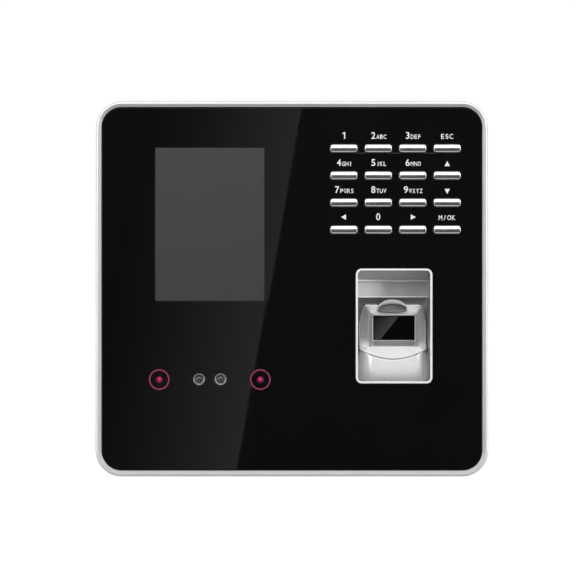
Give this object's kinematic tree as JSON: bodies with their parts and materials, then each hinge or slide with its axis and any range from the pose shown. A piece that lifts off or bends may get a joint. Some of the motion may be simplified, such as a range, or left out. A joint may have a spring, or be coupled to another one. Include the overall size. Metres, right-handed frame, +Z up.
{
  "type": "fingerprint scanner terminal",
  "caption": "Wall-mounted access terminal: glossy black face in a silver rim, grey display, bar keys with legends, cameras and lamps, and a sunken finger bay with a glass scanner.",
  "frame": {"origin": "centre of the wall bracket's back face, on the wall plane y = 0", "axes": "+Z up, +X to the right of a person facing the terminal, +Y into the wall; the face looks along -Y"},
  "size_m": [0.152, 0.0344, 0.145],
  "materials": {
    "silver_paint": "silver painted moulding, satin gloss",
    "black_acrylic": "back-printed black acrylic, polished",
    "display_pane": "anti-glare grey pane",
    "key_silver": "bright silver plating on plastic",
    "silicone": "moulded silicone, matt",
    "circuit_board": "green solder mask",
    "display_glass": "polariser over glass",
    "sheet_steel": "zinc plated sheet",
    "lens_metal": "turned barrel",
    "lamp_red": "clear tinted epoxy",
    "bay_silver": "bright silver plating on plastic",
    "sensor_glass": "coated optical glass",
    "connector_black": "glass-filled nylon",
    "connector_green": "glass-filled nylon",
    "relay_blue": "moulded relay cover",
    "white_plastic": "off-white plastic",
    "cable_black": "soft sheath",
    "dark_plastic": "fine spark-eroded texture",
    "screw_steel": "nickel plated"
  },
  "bodies": {
    "wall_bracket": {"wall_bracket": "sheet_steel"},
    "terminal": {"front_housing": "silver_paint", "front_panel": "black_acrylic", "display_window": "display_pane", "keypad_mat": "silicone", "keypad_board": "circuit_board", "display_glass": "display_glass", "display_shield": "sheet_steel", "face_board": "circuit_board", "camera_left": "lens_metal", "infrared_lamp_left": "lamp_red", "camera_right": "lens_metal", "infrared_lamp_right": "lamp_red", "finger_bay": "bay_silver", "sensor_housing": "bay_silver", "sensor_prism": "sensor_glass", "sensor_board": "circuit_board", "mainboard": "circuit_board", "network_jack": "connector_black", "terminal_block": "connector_green", "power_jack": "connector_black", "usb_port": "sheet_steel", "lock_relay": "relay_blue", "clock_cell": "sheet_steel", "tamper_switch": "connector_black", "speaker": "connector_black", "display_ribbon": "white_plastic", "camera_ribbon": "white_plastic", "keypad_ribbon": "white_plastic", "sensor_cable": "cable_black", "speaker_lead": "cable_black", "rear_housing": "dark_plastic", "case_screw_1": "screw_steel", "case_screw_2": "screw_steel", "case_screw_3": "screw_steel", "case_screw_4": "screw_steel"},
    "key_1": {"key_1": "key_silver"},
    "key_2": {"key_2": "key_silver"},
    "key_3": {"key_3": "key_silver"},
    "key_escape": {"key_escape": "key_silver"},
    "key_4": {"key_4": "key_silver"},
    "key_5": {"key_5": "key_silver"},
    "key_6": {"key_6": "key_silver"},
    "key_up": {"key_up": "key_silver"},
    "key_7": {"key_7": "key_silver"},
    "key_8": {"key_8": "key_silver"},
    "key_9": {"key_9": "key_silver"},
    "key_down": {"key_down": "key_silver"},
    "key_left": {"key_left": "key_silver"},
    "key_0": {"key_0": "key_silver"},
    "key_right": {"key_right": "key_silver"},
    "key_ok": {"key_ok": "key_silver"},
    "tamper_plunger": {"tamper_plunger": "white_plastic"},
    "lock_screw": {"lock_screw": "screw_steel"}
  },
  "joints": [
    {"name": "terminal_lift", "type": "slide", "parent": "wall_bracket", "child": "terminal", "axis": [0, 0, 1], "range_m": [0, 0.0067]},
    {"name": "key_1_press", "type": "slide", "parent": "terminal", "child": "key_1", "axis": [0, 1, 0], "range_m": [0, 0.001], "stiffness_N_per_m": 400, "springref_m": -0.002},
    {"name": "key_2_press", "type": "slide", "parent": "terminal", "child": "key_2", "axis": [0, 1, 0], "range_m": [0, 0.001], "stiffness_N_per_m": 400, "springref_m": -0.002},
    {"name": "key_3_press", "type": "slide", "parent": "terminal", "child": "key_3", "axis": [0, 1, 0], "range_m": [0, 0.001], "stiffness_N_per_m": 400, "springref_m": -0.002},
    {"name": "key_escape_press", "type": "slide", "parent": "terminal", "child": "key_escape", "axis": [0, 1, 0], "range_m": [0, 0.001], "stiffness_N_per_m": 400, "springref_m": -0.002},
    {"name": "key_4_press", "type": "slide", "parent": "terminal", "child": "key_4", "axis": [0, 1, 0], "range_m": [0, 0.001], "stiffness_N_per_m": 400, "springref_m": -0.002},
    {"name": "key_5_press", "type": "slide", "parent": "terminal", "child": "key_5", "axis": [0, 1, 0], "range_m": [0, 0.001], "stiffness_N_per_m": 400, "springref_m": -0.002},
    {"name": "key_6_press", "type": "slide", "parent": "terminal", "child": "key_6", "axis": [0, 1, 0], "range_m": [0, 0.001], "stiffness_N_per_m": 400, "springref_m": -0.002},
    {"name": "key_up_press", "type": "slide", "parent": "terminal", "child": "key_up", "axis": [0, 1, 0], "range_m": [0, 0.001], "stiffness_N_per_m": 400, "springref_m": -0.002},
    {"name": "key_7_press", "type": "slide", "parent": "terminal", "child": "key_7", "axis": [0, 1, 0], "range_m": [0, 0.001], "stiffness_N_per_m": 400, "springref_m": -0.002},
    {"name": "key_8_press", "type": "slide", "parent": "terminal", "child": "key_8", "axis": [0, 1, 0], "range_m": [0, 0.001], "stiffness_N_per_m": 400, "springref_m": -0.002},
    {"name": "key_9_press", "type": "slide", "parent": "terminal", "child": "key_9", "axis": [0, 1, 0], "range_m": [0, 0.001], "stiffness_N_per_m": 400, "springref_m": -0.002},
    {"name": "key_down_press", "type": "slide", "parent": "terminal", "child": "key_down", "axis": [0, 1, 0], "range_m": [0, 0.001], "stiffness_N_per_m": 400, "springref_m": -0.002},
    {"name": "key_left_press", "type": "slide", "parent": "terminal", "child": "key_left", "axis": [0, 1, 0], "range_m": [0, 0.001], "stiffness_N_per_m": 400, "springref_m": -0.002},
    {"name": "key_0_press", "type": "slide", "parent": "terminal", "child": "key_0", "axis": [0, 1, 0], "range_m": [0, 0.001], "stiffness_N_per_m": 400, "springref_m": -0.002},
    {"name": "key_right_press", "type": "slide", "parent": "terminal", "child": "key_right", "axis": [0, 1, 0], "range_m": [0, 0.001], "stiffness_N_per_m": 400, "springref_m": -0.002},
    {"name": "key_ok_press", "type": "slide", "parent": "terminal", "child": "key_ok", "axis": [0, 1, 0], "range_m": [0, 0.001], "stiffness_N_per_m": 400, "springref_m": -0.002},
    {"name": "tamper_plunger_press", "type": "slide", "parent": "terminal", "child": "tamper_plunger", "axis": [0, 1, 0], "range_m": [-0.001, 0], "stiffness_N_per_m": 200, "springref_m": 0.0015},
    {"name": "lock_screw_travel", "type": "slide", "parent": "wall_bracket", "child": "lock_screw", "axis": [0, 0, -1], "range_m": [0, 0.0105]}
  ]
}
